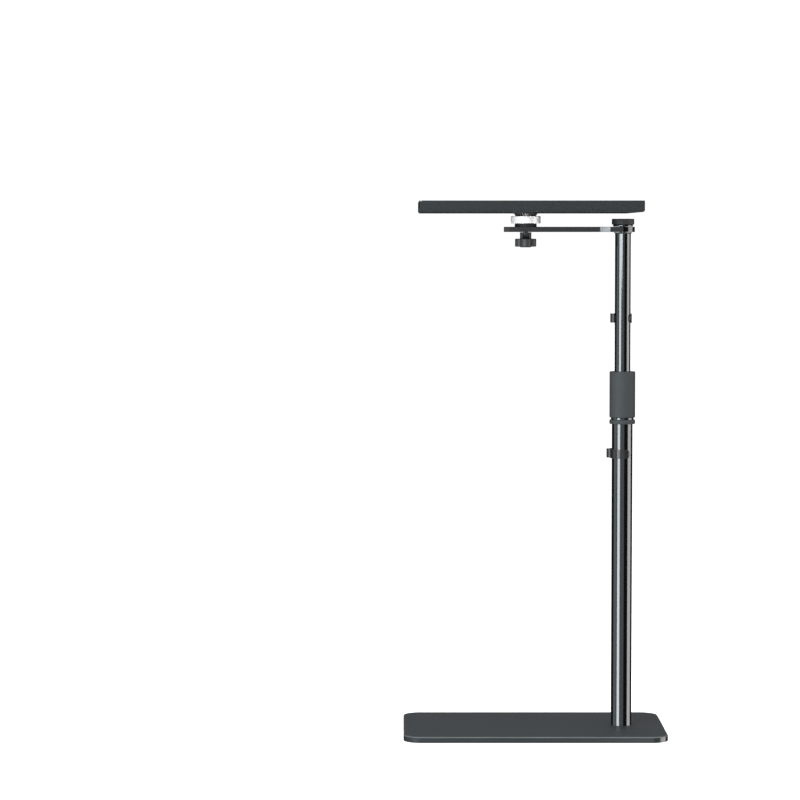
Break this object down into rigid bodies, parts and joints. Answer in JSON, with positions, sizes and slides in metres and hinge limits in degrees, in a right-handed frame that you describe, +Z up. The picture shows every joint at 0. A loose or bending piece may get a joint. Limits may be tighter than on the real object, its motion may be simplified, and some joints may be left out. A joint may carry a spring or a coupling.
{
  "type": "projector floor stand",
  "caption": "Floor stand: a square tray with upturned lips on a ball head, held by a flat offset arm on a telescopic twist-lock pole that rises from a flat base plate.",
  "frame": {"origin": "middle of the base's underside, on the floor", "axes": "+Z up, +X along the base from its free end to the end with the pole, +Y across the base, to the left of someone looking along +X"},
  "size_m": [0.314, 0.261, 0.6394],
  "materials": {
    "base_coat": "matt powder coat",
    "tray_coat": "matt powder coat",
    "arm_coat": "glossy black plated",
    "black_tube": "glossy black plated",
    "collar_coat": "satin dark anodised",
    "black_plastic": "satin moulded",
    "clip_plastic": "semi-gloss moulded",
    "ring_metal": "bright satin",
    "ball_steel": "polished",
    "inner_plastic": "moulded",
    "screw_steel": "zinc plated",
    "mat_rubber": "matt"
  },
  "bodies": {
    "base": {"base_plate": "base_coat", "rubber_mat": "mat_rubber", "pole_screw": "screw_steel", "foot_plug": "screw_steel", "lower_tube": "black_tube", "clamp_ring": "collar_coat", "clamp_collet": "black_tube", "lower_clip": "clip_plastic"},
    "collar": {"twist_collar": "collar_coat"},
    "upper_pole": {"upper_tube": "black_tube", "slide_bushing": "inner_plastic", "top_ferrule": "black_tube", "upper_clip": "clip_plastic"},
    "swing_arm": {"arm": "arm_coat", "head_disc": "black_plastic", "ball_cup": "screw_steel"},
    "cap": {"cap_washer": "black_tube", "cap_knob": "black_plastic", "cap_stud": "screw_steel"},
    "ring": {"lock_ring": "ring_metal"},
    "ball": {"tilt_ball": "ball_steel"},
    "stem": {"ball_stem": "ring_metal"},
    "tray_head": {"tray_flange": "black_plastic", "tray": "tray_coat", "tray_screw": "screw_steel"},
    "hand_knob": {"clamp_knob": "black_plastic"}
  },
  "joints": [
    {"name": "height_slide", "type": "slide", "parent": "base", "child": "upper_pole", "axis": [0, 0, 1], "range_m": [-0.05, 0.16]},
    {"name": "collar_twist", "type": "hinge", "parent": "base", "child": "collar", "pos_m": [0.1065, 0, 0.4], "axis": [0, 0, 1], "range_deg": [0, 120]},
    {"name": "arm_swivel", "type": "hinge", "parent": "upper_pole", "child": "swing_arm", "pos_m": [0.1065, 0, 0.606], "axis": [0, 0, 1], "continuous": true},
    {"name": "cap_turn", "type": "hinge", "parent": "swing_arm", "child": "cap", "pos_m": [0.1065, 0, 0.613], "axis": [0, 0, 1], "continuous": true},
    {"name": "ring_turn", "type": "hinge", "parent": "swing_arm", "child": "ring", "pos_m": [-0.0103, 0, 0.6178], "axis": [0, 0, 1], "range_deg": [0, 90]},
    {"name": "tray_tilt", "type": "hinge", "parent": "swing_arm", "child": "ball", "pos_m": [-0.0103, 0, 0.6173], "axis": [0, -1, 0], "range_deg": [0, 8]},
    {"name": "tray_side_tilt", "type": "hinge", "parent": "ball", "child": "stem", "pos_m": [-0.0103, 0, 0.6173], "axis": [1, 0, 0], "range_deg": [-6, 6]},
    {"name": "tray_pan", "type": "hinge", "parent": "stem", "child": "tray_head", "pos_m": [-0.0103, 0, 0.6173], "axis": [0, 0, 1], "continuous": true},
    {"name": "knob_turn", "type": "hinge", "parent": "swing_arm", "child": "hand_knob", "pos_m": [-0.0103, 0, 0.594], "axis": [0, 0, 1], "continuous": true}
  ]
}
